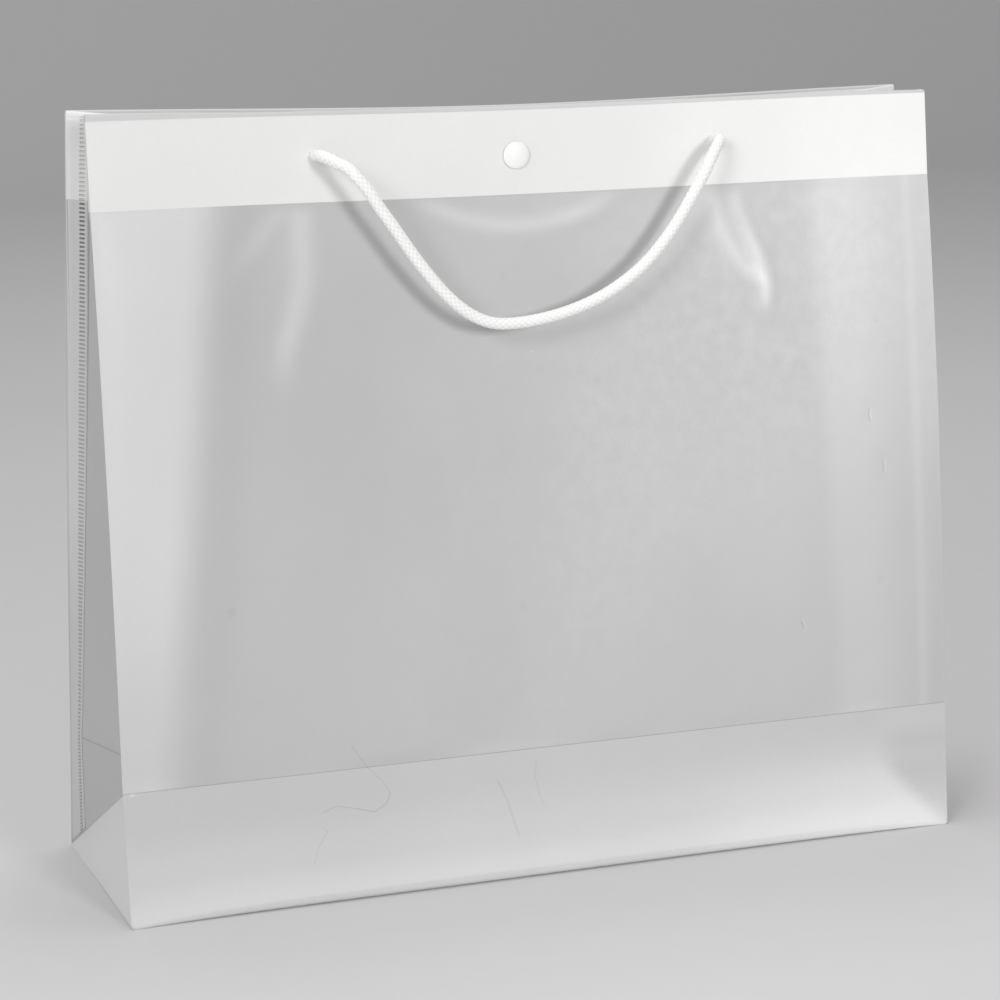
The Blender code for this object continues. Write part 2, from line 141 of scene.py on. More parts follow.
@dataclass(frozen=True)
class BagShape:
    """The folded sheet's sizes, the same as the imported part's, and its curved surfaces."""

    width: float = 0.400
    depth: float = 0.120
    height: float = 0.350
    crease: float = 0.0595
    film: float = 0.0004
    hem: float = 0.040
    hem_round: float = 0.0010
    side_return: float = 0.0032
    base_round: float = 0.0042
    fold_in: float = 0.0270
    flap: float = 0.0105
    front_lean: Pair = (0.0095, 0.0065)
    back_lean: Pair = (0.0065, 0.0125)
    mouth: Pair = (0.0199, 0.0167)
    mouth_mid: float = 0.0012
    rise_from_crease: Pair = (0.6, 1.1)
    rise_to_hem: Pair = (1.4, 0.55)
    strip: float = 0.0005
    clear: float = 0.0003
    snap_gap: float = 0.0048

    @property
    def half(self) -> float:
        """Half a panel's width."""
        return self.width / 2

    @property
    def upper(self) -> float:
        """Film from the crease to the top fold."""
        return self.height - self.crease

    @property
    def body(self) -> float:
        """Film from the crease to the hem's free edge."""
        return self.upper - self.hem

    @property
    def panel_hem(self) -> float:
        """Depth of a hem with a stiffener in it."""
        return 2 * self.film + self.strip + 2 * self.clear

    @property
    def gusset_hem(self) -> float:
        """Depth of a hem without one."""
        return 2 * self.film + self.clear

    @property
    def snap_half(self) -> float:
        """From the mouth's middle plane to a panel's outer face at the snap."""
        return self.snap_gap / 2 + self.panel_hem

    def mouth_half(self, x: Array) -> Array:
        """Half the mouth's opening: each half panel bends like a beam, (3t^2 - t^3) / 2."""
        end = np.where(x < 0, *self.mouth)
        share = abs(x) / self.half
        return self.snap_half + (end - self.snap_half) * (3 * share**2 - share**3) / 2

    def lean_at(self, x: Array, side: Side) -> Array:
        """How far a panel leans in at the crease."""
        left, right = self.front_lean if side is Side.FRONT else self.back_lean
        return left + (right - left) * (x + self.half) / self.width

    def panel_inward(self, x: Array, s: Array, side: Side) -> Array:
        """How far in from its crease a panel has come at film height s above the crease.

        A cubic with set slopes at both ends runs from the crease to the hem's free edge,
        and the hem goes on straight.
        """
        total = self.depth / 2 - self.lean_at(x, side) - self.mouth_half(x)
        total = total - side.value * self.mouth_mid
        share = np.minimum(abs(x) / self.half, 1) ** 2
        hem_slope = share * total / self.upper
        at_hem = total - hem_slope * self.hem
        leave, arrive = (
            (mid + (end - mid) * share) * at_hem
            for end, mid in (self.rise_from_crease, self.rise_to_hem)
        )
        t = np.minimum(s, self.body) / self.body
        cubic = at_hem * (3 * t**2 - 2 * t**3) + leave * (t**3 - 2 * t**2 + t)
        cubic = cubic + arrive * (t**3 - t**2)
        return cubic + hem_slope * np.maximum(s - self.body, 0)

    def panel_points(self, x: Array, heights: Array, side: Side) -> Array:
        """Points of a panel's outer face, by film height above the crease, by x, by XYZ.

        Each step up the film keeps its length, so the height gained is what the step
        inwards leaves of it: sqrt(step^2 - inward^2).
        """
        x = np.asarray(x, float)
        fine = np.union1d(np.linspace(0, self.upper, 60), heights)
        inward = self.panel_inward(x[None, :], fine[:, None], side)
        rise = np.sqrt(np.diff(fine)[:, None] ** 2 - np.diff(inward, axis=0) ** 2)
        lean = self.lean_at(x, side)
        climb = np.vstack([np.zeros_like(x), np.cumsum(rise, axis=0)])
        z = np.sqrt(self.crease**2 - lean**2) + climb
        pick = np.searchsorted(fine, heights)
        y = side.value * (self.depth / 2 - lean - inward[pick])
        return np.stack([np.broadcast_to(x, y.shape), y, z[pick]], axis=2)

    def panel_point(self, x: float, s: float, side: Side) -> Array:
        """One point of a panel's outer face."""
        return self.panel_points(np.array([x]), np.array([s]), side)[0, 0]

    def frame_on(self, x: float, s: float, side: Side) -> Matrix:
        """A frame on a panel, with +Z straight out of it and +Y up the panel."""
        step = 0.001
        along = self.panel_point(x + step, s, side) - self.panel_point(x - step, s, side)
        up = self.panel_point(x, s, side) - self.panel_point(x, s - step, side)
        out = Vector(np.cross(along, up) * -side.value).normalized()
        up = (Vector((0, 0, 1)) - out * out.z).normalized()
        turn = Matrix((up.cross(out), up, out)).transposed().to_4x4()
        return Matrix.Translation(self.panel_point(x, s, side)) @ turn

    def middle_fold(self, heights: Array, hand: Hand) -> Array:
        """Points of a gusset's middle fold, a straight line from the crease to the mouth."""
        mouth = self.mouth[0] if hand is Hand.LEFT else self.mouth[1]
        deep = self.depth / 2
        low = np.array([self.fold_in, 0, np.sqrt(deep**2 - self.fold_in**2)])
        reach = np.sqrt((deep - self.side_return) ** 2 - (mouth - self.side_return) ** 2)
        gain = np.sqrt(self.upper**2 - (reach - self.fold_in) ** 2)
        top = np.array([reach, self.mouth_mid, low[2] + gain])
        line = low + (top - low) * (np.asarray(heights)[:, None] / self.upper)
        return line * [-hand.value, 1, 1] + [hand.value * self.half, 0, 0]

    def half_gusset(self, side: Side, hand: Hand, heights: Array, distances: Array) -> Array:
        """Points on half a gusset, by height, by distance from its fold with a panel, by XYZ.

        The first few millimetres turn back more and more towards the hem, where they make
        room for the stiffener's end; the rest runs straight to the middle fold.
        """
        fold = self.panel_points(np.array([hand.value * self.half]), heights, side)
        middle = self.middle_fold(heights, hand)[:, None]
        straight = unit(middle - fold)
        turn = np.minimum(heights / self.body, 1)[:, None, None] ** 2
        way = straight * (1 - turn) + np.array([0, -side.value, 0]) * turn
        first = fold + unit(way) * self.side_return
        u = np.asarray(distances)[None, :, None]
        near = fold + (first - fold) * np.minimum(u / self.side_return, 1)
        beyond = np.maximum(u - self.side_return, 0) / (self.depth / 2 - self.side_return)
        return near + (middle - first) * beyond


SHAPE = BagShape()

ROW = 0.0001  # Nearer than this, a point is on a named row or column of the sheet.
# The dark lines along a gusset's folds and crease are painted shade.
FOLD_SHADE_LINE = 0.0004  # From a gusset's middle fold to the dark line along its foot's slanting fold.
CREASE_SHADE_LINE = 0.0018  # From the crease's height down to its dark line on a gusset.


@dataclass
class Nodes:
    """Short calls for the nodes of one material."""

    material: Material

    @classmethod
    def start(cls, name: str) -> "Nodes":
        """Make a material with nodes."""
        material = bpy.data.materials.new(name)
        material.use_nodes = True
        return cls(material)

    @property
    def shader(self) -> bpy.types.ShaderNode:
        """The material's own shader."""
        return self.material.node_tree.nodes["Principled BSDF"]

    def add(self, kind: str, **settings: object) -> bpy.types.Node:
        """Add a node; a setting is one of its properties."""
        node = self.material.node_tree.nodes.new(kind)
        for name, value in settings.items():
            setattr(node, name, value)
        return node

    def put(self, value: object, socket: Socket) -> None:
        """Link an output to a socket, or set the socket to a plain value."""
        if isinstance(value, Socket):
            self.material.node_tree.links.new(value, socket)
        else:
            socket.default_value = value

    def feed(self, node: bpy.types.Node, values: tuple, result: int | str = 0) -> Socket:
        """A node's result, with values put into its first inputs."""
        for value, socket in zip(values, node.inputs):
            self.put(value, socket)
        return node.outputs[result]

    def math(self, operation: str, *values: object) -> Socket:
        """The result of a Math node."""
        return self.feed(self.add("ShaderNodeMath", operation=operation), values)

    def vector(self, operation: str, *values: object, result: str = "Vector") -> Socket:
        """The result of a Vector Math node."""
        return self.feed(self.add("ShaderNodeVectorMath", operation=operation), values, result)

    def distance(self, place: Socket, a: Vector, b: Vector) -> Socket:
        """How far a place is from the line between two points, or from the one if they agree."""
        long = (b - a).length
        if not long:
            return self.vector("DISTANCE", place, tuple(a), result="Value")
        way = (b - a) / long
        from_a = self.vector("SUBTRACT", place, tuple(a))
        along = self.vector("DOT_PRODUCT", from_a, tuple(way), result="Value")
        along = self.range(along, 0, long, 0, long)
        return self.vector("DISTANCE", from_a, self.tinted(tuple(way), along), result="Value")

    def attribute(self, name: str) -> Socket:
        """A number stored on the mesh."""
        return self.add("ShaderNodeAttribute", attribute_name=name).outputs["Fac"]

    def place(self, scale: Triple = (1, 1, 1)) -> Socket:
        """The place on the object, stretched by scale."""
        mapping = self.add("ShaderNodeMapping")
        self.put(self.add("ShaderNodeTexCoord").outputs["Object"], mapping.inputs["Vector"])
        mapping.inputs["Scale"].default_value = scale
        return mapping.outputs[0]

    def noise(self, where: object, scale: float, detail: float = 3) -> Socket:
        """A noise from 0 to 1, with scale features a metre."""
        node = self.add("ShaderNodeTexNoise")
        self.put(where, node.inputs["Vector"])
        node.inputs["Scale"].default_value = scale
        node.inputs["Detail"].default_value = detail
        return node.outputs["Fac"]

    def range(self, value: object, start: float, end: float, low: object, high: object) -> Socket:
        """Map start to low and end to high, in a straight line with its ends held."""
        return self.feed(self.add("ShaderNodeMapRange"), (value, start, end, low, high))

    def mixed(self, share: object, low: Triple, high: Triple) -> Socket:
        """A colour between two, low where share is 0 and high where it is 1."""
        node = self.add("ShaderNodeMix", data_type="VECTOR")
        self.put(share, node.inputs["Factor"])
        node.inputs["A"].default_value, node.inputs["B"].default_value = low, high
        return node.outputs["Result"]

    def tinted(self, tint: object, level: object) -> Socket:
        """A colour times a level."""
        node = self.add("ShaderNodeVectorMath", operation="SCALE")
        self.put(tint, node.inputs[0])
        self.put(level, node.inputs["Scale"])
        return node.outputs[0]

    def relief(self, height: object, distance: float, normal: object = None) -> Socket:
        """A bump of that distance in metres where height is 1."""
        node = self.add("ShaderNodeBump")
        node.inputs["Distance"].default_value = distance
        self.put(height, node.inputs["Height"])
        if normal is not None:
            self.put(normal, node.inputs["Normal"])
        return node.outputs[0]

    def finish(self, tint: object, level: object, rough: object, normal: object = None) -> Material:
        """Set the shader's colour, roughness and relief, and return the material."""
        self.put(self.tinted(tint, level), self.shader.inputs["Base Color"])
        self.put(rough, self.shader.inputs["Roughness"])
        if normal is not None:
            self.put(normal, self.shader.inputs["Normal"])
        return self.material


@dataclass(frozen=True)
class Mark:
    """A fine line, or a spot, on the front panel, through places given by x and z.

    It is darker than the film by its depth, or lighter where that is below zero.
    """

    width: float
    depth: float
    places: tuple[Pair, ...]


WEAR_AND_DENT_SHADE = (
    Mark(0.0005, 0.16, ((-0.096, 0.0694), (-0.09, 0.06), (-0.082, 0.0514), (-0.079, 0.0462))),
    Mark(0.0006, 0.2, ((-0.079, 0.0462), (-0.081, 0.0417), (-0.087, 0.0387), (-0.095, 0.041))),
    Mark(0.0006, 0.16, ((-0.095, 0.041), (-0.104, 0.0432), (-0.111, 0.041))),
    Mark(0.0006, 0.14, ((-0.109, 0.0328), (-0.114, 0.0253), (-0.116, 0.0186))),
    Mark(0.0013, 0.09, ((-0.028, 0.0462), (-0.024, 0.0373), (-0.019, 0.0201))),
    Mark(0.0008, 0.08, ((-0.009, 0.053), (-0.01, 0.0463), (-0.008, 0.0373), (-0.006, 0.0328))),
    # Painted shade and painted highlight of the three dents: a dark line and a light line beside
    # each.
    Mark(0.0009, 0.16, ((0.1658, 0.2004), (0.1654, 0.1978), (0.166, 0.195))),
    Mark(0.0009, -0.14, ((0.1668, 0.2004), (0.1664, 0.1978), (0.167, 0.195))),
    Mark(0.0009, 0.12, ((0.1714, 0.1767), (0.1719, 0.1738), (0.1717, 0.1709))),
    Mark(0.0009, -0.12, ((0.1724, 0.1767), (0.1729, 0.1738), (0.1727, 0.1709))),
    Mark(0.0009, 0.16, ((0.1269, 0.104), (0.1281, 0.101))),
    Mark(0.0009, -0.1, ((0.1279, 0.1046), (0.1291, 0.1016))),
    Mark(0.001, -0.25, ((0.004, 0.2345),)),
)
SPOT_WIDTH = 0.0048
SPOTS = (
    (0.07, -0.147, 0.133), (0.035, -0.009, 0.1215), (0.04, 0.035, 0.2203),
    (0.05, 0.135, 0.2211), (0.04, -0.008, 0.269), (0.035, 0.171, 0.2573),
    (0.035, 0.171, 0.2419), (0.045, 0.168, 0.1208), (0.025, 0.056, 0.1777),
)


@dataclass(frozen=True)
class FilmFinish:
    """Frosted film: pale, satin, a little see-through, and finely grained."""

    name: str = "frosted_film"
    tint: Triple = (0.99, 0.99, 1.0)
    over_strip: Triple = (1.0, 0.997, 0.98)
    roughness: float = 0.42
    opacity: float = 0.9
    grain: float = 0.00003
    wave: float = 0.00025

    def make(self) -> Material:
        """Build the material.

        One attribute holds painted light and shade, how light the lamps and the layers behind make
        the film, and "white" is 1 where it lies on a stiffener.
        """
        n = Nodes.start(self.name)
        cloud = n.noise(n.place(), 14, 4)
        speckle = n.noise(n.place(), 900, 2)
        # Painted light and shade from the sheet's points sets the film's lightness.
        level = n.math("MULTIPLY", n.attribute("painted_light"), n.range(cloud, 0.3, 0.7, 0.985, 1.015))
        level = n.math("MULTIPLY", level, n.range(speckle, 0.25, 0.75, 0.985, 1.015))
        level = n.math("MULTIPLY", level, self.marks_and_dent_shade(n))
        tint = n.mixed(n.attribute("white"), self.tint, self.over_strip)
        wave = n.relief(n.noise(n.place((1, 1, 0.5)), 26, 2), self.wave)
        mottle = n.noise(n.place(), 160, 3)
        rough = n.range(mottle, 0.3, 0.7, self.roughness - 0.04, self.roughness + 0.04)
        n.shader.inputs["Alpha"].default_value = self.opacity
        return n.finish(tint, level, rough, n.relief(speckle, self.grain, wave))

    def marks_and_dent_shade(self, n: Nodes) -> Socket:
        """The factor that the marks on the front panel put on the film's lightness: scratches,
        scuffs and specks, and the painted shade and painted highlight beside its dents.
        """
        place = n.place()
        flat = n.vector("MULTIPLY", place, (1, 0, 1))
        total = 0.0
        for mark in WEAR_AND_DENT_SHADE + tuple(Mark(SPOT_WIDTH, depth, ((x, z),)) for depth, x, z in SPOTS):
            points = [Vector((x, 0, z)) for x, z in mark.places]
            far = [n.distance(flat, a, b) for a, b in zip(points, points[1:] or points)]
            near = far[0]
            for other in far[1:]:
                near = n.math("MINIMUM", near, other)
            dark = n.range(near, mark.width / 2, mark.width / 4, 0, mark.depth)
            total = n.math("ADD", total, dark)
        depth = n.add("ShaderNodeSeparateXYZ")
        n.put(place, depth.inputs[0])
        front = n.math("LESS_THAN", depth.outputs["Y"], 0)
        return n.math("SUBTRACT", 1, n.math("MULTIPLY", total, front))


@dataclass(frozen=True)
class PlainFinish:
    """A plain finish: a tint whose lightness and roughness follow one faint grain."""

    name: str
    tint: Triple
    grain: float
    detail: float
    level: Pair
    roughness: Pair

    def make(self) -> Material:
        """Build the material."""
        n = Nodes.start(self.name)
        grain = n.noise(n.place(), self.grain, self.detail)
        level, rough = (n.range(grain, 0.3, 0.7, *ends) for ends in (self.level, self.roughness))
        return n.finish(self.tint, level, rough, n.relief(grain, 0.00002))


STRIP = PlainFinish("white_strip", (0.86, 0.86, 0.85), 700, 3, (0.98, 1.02), (0.55, 0.55))
SNAP = PlainFinish("white_snap", (0.87, 0.87, 0.86), 260, 2, (0.985, 1.01), (0.19, 0.27))


@dataclass(frozen=True)
class CordFinish:
    """White braided cord: soft yarn, with painted shade between its strands."""

    name: str = "white_cord"
    tint: Triple = (0.88, 0.88, 0.865)
    roughness: float = 0.75
    sheen: float = 0.25

    def make(self) -> Material:
        """Build the material; the attribute "crown" is 1 on a strand and 0 between two."""
        n = Nodes.start(self.name)
        crown = n.attribute("crown")
        fibre = n.noise(n.place(), 3200, 3)
        # Painted shade between the strands, where the crown is low.
        level = n.range(crown, 0, 0.7, 0.84, 1)
        level = n.math("MULTIPLY", level, n.range(fibre, 0.3, 0.7, 0.96, 1.03))
        n.shader.inputs["Sheen Weight"].default_value = self.sheen
        return n.finish(self.tint, level, self.roughness, n.relief(fibre, 0.00006))


@dataclass
class FilmSheet:
    """The whole folded sheet: panels, gussets, base and turned-in hem, as one surface."""

    shape: BagShape = SHAPE
    columns: int = 145
    gusset_columns: int = 18
    body_rows: int = 40
    fold_rows: int = 26
    lower_rows: int = 14
    strip_edges: Pair = (0.0393, 0.0014)
    dents: tuple[tuple[float, float, float, float], ...] = (
        (0.1665, 0.1390, 0.0030, 0.0004),
        (0.1725, 0.1145, 0.0030, 0.0004),
        (0.1280, 0.0435, 0.0022, 0.0003),
    )
    finish: FilmFinish = FilmFinish()

    def across(self) -> Array:
        """Places across a panel, closer together in the soft folds and near the side folds."""
        fine = np.linspace(-self.shape.half, self.shape.half, 2001)
        crowd = 1 + 0.9 * bump(abs(fine), 0.106, 0.022) + 0.7 * ease(0.165, 0.190, abs(fine))
        run = np.cumsum(crowd)
        return np.interp(np.linspace(run[0], run[-1], self.columns), run, fine)

    def gusset_steps(self) -> Array:
        """Distances from a fold on half a gusset, up to the middle fold."""
        s = self.shape
        deep = s.depth / 2
        spaced = np.linspace(0.0062, 0.056, self.gusset_columns)
        close = [deep - 0.0007, deep - FOLD_SHADE_LINE, deep]
        return np.concatenate([[s.side_return], spaced, close])

    def ring(self, heights: Array) -> Array:
        """Closed rings round the bag: front, right gusset, back, left gusset."""
        s, x, u = self.shape, self.across(), self.gusset_steps()
        front, back = (s.panel_points(x, heights, side) for side in Side)
        front[:, :, 1] -= self.relief(x, heights, Side.FRONT)
        back[:, :, 1] += self.relief(x, heights, Side.BACK)
        parts = [front]
        for hand, order in ((Hand.RIGHT, list(Side)), (Hand.LEFT, list(Side)[::-1])):
            first, last = (s.half_gusset(side, hand, heights, u) for side in order)
            parts += [first, s.middle_fold(heights, hand)[:, None], last[:, ::-1]]
            if hand is Hand.RIGHT:
                parts.append(back[:, ::-1])
        rings = np.concatenate(parts, axis=1)
        risen = np.zeros(rings.shape[1])
        risen[: len(x)] = self.rise(x)
        risen[-len(u) :] = self.rise(-s.half) * (u[::-1] < 0.012)
        top = ease(s.upper - self.strip_edges[1], s.upper - s.hem_round, heights)
        rings[:, :, 2] += top[:, None] * risen
        return rings

    @staticmethod
    def rise(x: Array | float) -> Array:
        """How much higher than the rest the front panel's top fold runs, most at the left."""
        return 0.0005 * ease(0.2, 0.15, x) + 0.0012 * ease(-0.120, -0.175, x)

    def relief(self, x: Array, heights: Array, side: Side) -> Array:
        """How far the film stands out from its smooth panel, in waves, folds and dents.

        It dies away at the side folds and in the stiffened hem.
        """
        h, across = heights[:, None], x[None, :]
        s = self.shape
        out = 0.00030 * np.sin(across * 38 + 1.3 * side.value) * np.sin(h * 17 + 0.7)
        out += 0.00022 * np.sin(across * 71 + h * 23) * np.sin(h * 41 + 2.0)
        if side is Side.FRONT:
            out += 0.0010 * self.streaks(across, h) + 0.0006 * self.smile(across, h)
            for place, height, size, deep in self.dents:
                out -= deep * bump(across, place, size) * bump(h, height, size)
        fade = ease(s.half, s.half - 0.012, abs(across)) * ease(s.body, s.body - 0.004, h)
        return out * fade * ease(0, 0.004, h)

    def streaks(self, x: Array, h: Array) -> Array:
        """The soft folds that run down from under the cord's holes, 1 on the sharpest crest."""
        d = self.shape.body - h
        main = bump(x, -0.1022 - 0.0125 * ease(0.026, 0.078, d), 0.0064)
        main = main * ease(0.090, 0.055, d) * 0.42
        side = bump(x, -0.1105 - 0.83 * d, 0.0060) * ease(0.040, 0.012, d) * 0.22
        steep = bump(x, 0.1065 + 0.0120 * ease(0, 0.048, d), 0.0039) * ease(0.064, 0.050, d)
        steep = steep * (0.45 + 0.55 * ease(0.012, 0.036, d))
        slant = bump(x, 0.0960 + 0.0200 * (np.maximum(d, 0) / 0.046) ** 2.2, 0.0060)
        slant = slant * ease(0.052, 0.042, d) * 0.66
        return (main + side + steep + slant) * ease(-0.002, 0.006, d)

    def smile(self, x: Array, h: Array) -> Array:
        """The shallow arc that hangs under the snap, 1 on its crest."""
        d = self.shape.body - h
        return bump(d, 0.0136 - 5.4 * (x - 0.003) ** 2, 0.0046) * ease(0.058, 0.030, abs(x))

    def turned_in(self, ring: Array, share: float) -> Array:
        """A ring moved inwards to share of the hem's depth, edge by edge.

        Each edge moves by its own hem's depth, and each point to where its two edges meet.
        """
        n, g = self.columns, len(self.gusset_steps())
        right, left = n + g, 2 * n + 3 * g + 1
        spare = {right, right + 1, left, left + 1}
        keep = np.array([i for i in range(len(ring)) if i not in spare])
        line = ring[keep]
        panel = np.concatenate([np.ones(n - 1), np.zeros(2 * g), np.ones(n - 1), np.zeros(2 * g)])
        depth = share * np.where(panel > 0, self.shape.panel_hem, self.shape.gusset_hem)
        edge = np.roll(line, -1, axis=0)[:, :2] - line[:, :2]
        inward = unit(edge[:, ::-1] * [-1, 1])
        before, depth_before = np.roll(inward, 1, axis=0), np.roll(depth, 1)
        dot = (before * inward).sum(1)
        move = (before + inward) * (depth / (1 + dot))[:, None]
        across = before[:, 0] * inward[:, 1] - before[:, 1] * inward[:, 0]
        sharp = (depth != depth_before) & (abs(across) > 1e-6)
        safe = np.where(sharp, across, 1)[:, None]
        met = inward[:, ::-1] * depth_before[:, None] - before[:, ::-1] * depth[:, None]
        move = np.where(sharp[:, None], met * [1, -1] / safe, move)
        moved = ring.copy()
        moved[keep, :2] += move
        for i in sorted(spare):
            moved[i] = moved[i - 1]
        return moved

    def lower_rings(self, crease: Array) -> tuple[Array, Array]:
        """Rings from the base's middle line, round its soft long folds, to the crease's ring.

        With them goes the film's height above the base's folds at each point.
        """
        s, x = self.shape, self.across()
        n, g = self.columns, len(self.gusset_steps())
        deep = s.depth / 2
        rise = np.array([-deep] * g + [0] + [deep] * g)
        corner = np.zeros_like(crease)
        ends = np.full(len(rise), s.half)
        corner[:, 0] = np.concatenate([x, ends, x[::-1], -ends])
        corner[:, 1] = np.concatenate([np.full(n, -deep), rise, np.full(n, deep), -rise])
        soft = s.base_round * (1 - (abs(x) / s.half) ** 6)
        sharp = np.zeros(len(rise))
        size = np.concatenate([soft, sharp, soft, sharp])[:, None]
        low = corner - np.sign(corner) * [0, 1, 0] * size
        high = corner + unit(crease - corner) * size
        rings, above = [low * [1, 0, 1]], [np.zeros(len(crease))]
        for t in np.linspace(0, 1, 6):
            rings.append(low * (1 - t) ** 2 + 2 * corner * t * (1 - t) + high * t**2)
            above.append(np.full(len(crease), s.base_round * t))
        shares = np.linspace(0, 0.95, self.lower_rows)[1:]
        for t in np.concatenate([[0.02], shares, [0.967, 0.970, 0.973, 0.987, 0.995]]):
            rings.append(high + (crease - high) * t)
            above.append(np.full(len(crease), s.base_round + (s.crease - s.base_round) * t))
        return np.array(rings), np.array(above)

    def hem_heights(self) -> Array:
        """Film heights of the hem's rows above the crease, with a close pair at each strip edge."""
        s = self.shape
        low, high = (s.upper - drop for drop in self.strip_edges)
        edges = [s.body, low - 0.0001, low + 0.0001]
        top = [high - 0.0001, high + 0.0001, s.upper - s.hem_round]
        return np.concatenate([edges, np.linspace(low + 0.004, high - 0.004, 6), top])

    def heights(self) -> Array:
        """Film heights of the outer rows above the crease, with close rows at the crease."""
        s = self.shape
        low = np.linspace(0.004, 0.188, self.body_rows)
        high = np.linspace(0.1905, s.body - 0.0003, self.fold_rows)
        return np.concatenate([[0, 0.0003, 0.0008, 0.0020], low, high, self.hem_heights()])

    def panel_painted_light(self, x: Array, over: Array, up: Array, front: Array) -> Array:
        """A panel's painted light and shade above the crease: lighter to the right and up, light
        where a gusset lies behind it at both ends, with painted highlights on the soft folds and
        under the snap.
        """
        edge = -0.145 - 0.033 * (1 - up)
        # Painted light: lighter towards the right and near the top.
        level = 0.485 + 0.048 * ease(-0.08, 0.17, x) + 0.02 * ease(0.75, 1, up)
        left = 0.160 - 0.070 * ease(0.40, 0.05, up)
        level = level + left * ease(edge + 0.010, edge - 0.012, x)
        level = level - 0.025 * bump(x, edge + 0.016, 0.010)
        right = ease(0.134 + 0.006 * (1 - up), 0.152, x) * (0.04 + 0.065 * ease(0.25, 0.95, up))
        level = level + right - 0.045 * ease(0.160, 0.186, x) + 0.045 * bump(x, 0.1888, 0.0020)
        level = level - 0.01 * ease(0.1895, 0.1965, x)
        # Painted highlights on the crests of the soft folds and of the arc under the snap.
        return level + front * (0.195 * self.streaks(x, over) + 0.10 * self.smile(x, over))

    def foot_painted_light(self, x: Array, h: Array) -> Array:
        """A panel's painted light and shade below the crease: lighter downwards, most at the bottom
        right, with painted shade at the right corner where the gusset's folded foot lies behind,
        and on the rounded fold at the base.
        """
        level = 0.513 + 0.052 * ease(-0.16, 0.02, x) + 0.07 * ease(0.050, 0.020, h)
        level = level + 0.08 * ease(0.022, 0.006, h)
        level = level + 0.15 * ease(0.02, 0.19, x) * ease(0.060, 0.010, h)
        corner = 0.045 - 0.87 * (x - 0.150)
        deep = 0.08 + 0.09 * ease(0.040, 0.028, h) - 0.09 * ease(0.042, 0.053, h)
        level = level - deep * ease(-0.004, 0.008, h - corner) * ease(0.158, 0.178, x)
        # Painted shade on the rounded fold at the base, which faces down, and a darker line along
        # its top.
        level = np.where(h < self.shape.base_round, level * 0.95, level)
        return np.where(abs(h - self.shape.base_round) < ROW, level * 0.93, level)

    def gusset_painted_light(self, over: Array, up: Array, u: Array) -> Array:
        """A gusset's painted light and shade: painted shade over most of it, painted light on the
        foot triangle past its slanting fold, and painted shade lines along the folds; its hem is
        lighter.
        """
        deep = self.shape.depth / 2
        triangle = u > deep - ROW
        # Painted light on the foot triangle, which tilts up to the light; painted shade on the rest
        # of the gusset and on the line along its slanting fold.
        lower = np.where(triangle, 0.725, 0.49)
        lower = np.where(abs(u - deep + FOLD_SHADE_LINE) < ROW, 0.36, lower)
        level = np.where(over < -ROW, lower, 0.495 + 0.02 * ease(0.3, 0.9, up))
        level = np.where((abs(over + CREASE_SHADE_LINE) < ROW) & ~triangle, level * 0.70, level)
        return np.where(over > self.shape.upper - self.strip_edges[0], 0.86, level)

    def painted_light(self, x: Array, y: Array, h: Array, u: Array, white: Array) -> Array:
        """Painted light and shade: how light the film and what lies behind it look under the lamps,
        as a share of white.

        The film height above the base is h, and u is the distance from a side fold on a
        gusset, or 0 on a panel; white is 1 on the white strip.
        """
        s, front = self.shape, y < 0
        over = h - s.crease
        up = np.clip(over / s.body, 0, 1)
        level = np.where(over < -ROW, self.foot_painted_light(x, h), self.panel_painted_light(x, over, up, front))
        # Painted shade in the crease line, and a painted highlight at its left corner on the front.
        level = np.where(abs(over) < 2 * ROW, level * 0.64, level)
        level = level + 0.16 * front * bump(x, -0.1957, 0.0012) * bump(over, -0.0006, 0.0006)
        # The top fold's painted light and shade: a plain grey, a little lighter to the right.
        level = np.where(over > s.upper - 0.005, 0.60 + 0.04 * ease(-0.1, 0.1, x), level)
        level = np.where(u > 0, self.gusset_painted_light(over, up, u), level)
        # The white strip seen through the film, with painted light: lighter towards the right.
        strip = 0.77 + 0.05 * ease(-0.19, -0.05, x) + 0.07 * ease(0, 0.17, x)
        return np.where(white > 0, strip, level)

    def build(self) -> Piece:
        """Build the sheet, paint its light and shade into its points, and give it its wall."""
        s = self.shape
        heights = self.heights()
        walls = self.ring(heights)
        turns = np.linspace(0, pi, 9)[1:-1]
        crest = []
        for a in turns:
            ring = self.ring(np.array([s.upper - s.hem_round * (1 - np.sin(a))]))[0]
            crest.append(self.turned_in(ring, (1 - np.cos(a)) / 2))
        inside = self.hem_heights()[::-1]
        crest_up = np.full(len(turns), s.height)
        inner = [self.turned_in(ring, 1) for ring in self.ring(inside)]
        lower, lower_up = self.lower_rings(walls[0])
        rings = np.concatenate([lower, walls, np.array(crest), np.array(inner)])
        film_up = np.concatenate([s.crease + heights, crest_up, s.crease + inside])
        rows, size = rings.shape[:2]
        piece = to_object("film_sheet", rings, grid_faces(rows, size, closed=True))
        h = np.concatenate([lower_up, np.broadcast_to(film_up[:, None], (len(film_up), size))])
        n, steps = self.columns, self.gusset_steps()
        side = np.concatenate([steps, [steps[-1]], steps[::-1]])
        u = np.concatenate([np.zeros(n), side, np.zeros(n), side])
        low, high = (s.height - drop for drop in self.strip_edges)
        white = (h > low) & (h < high) & (u[None, :] == 0)
        # Painted light and shade for every point, kept for the film's colour.
        painted_light = self.painted_light(rings[..., 0], rings[..., 1], h, u[None, :], white)
        give_values(piece.data, "painted_light", painted_light)
        give_values(piece.data, "white", white)
        weld(piece.data, 1e-6)
        piece.data.set_sharp_from_angle(angle=radians(32))
        thicken(piece, s.film)
        return piece


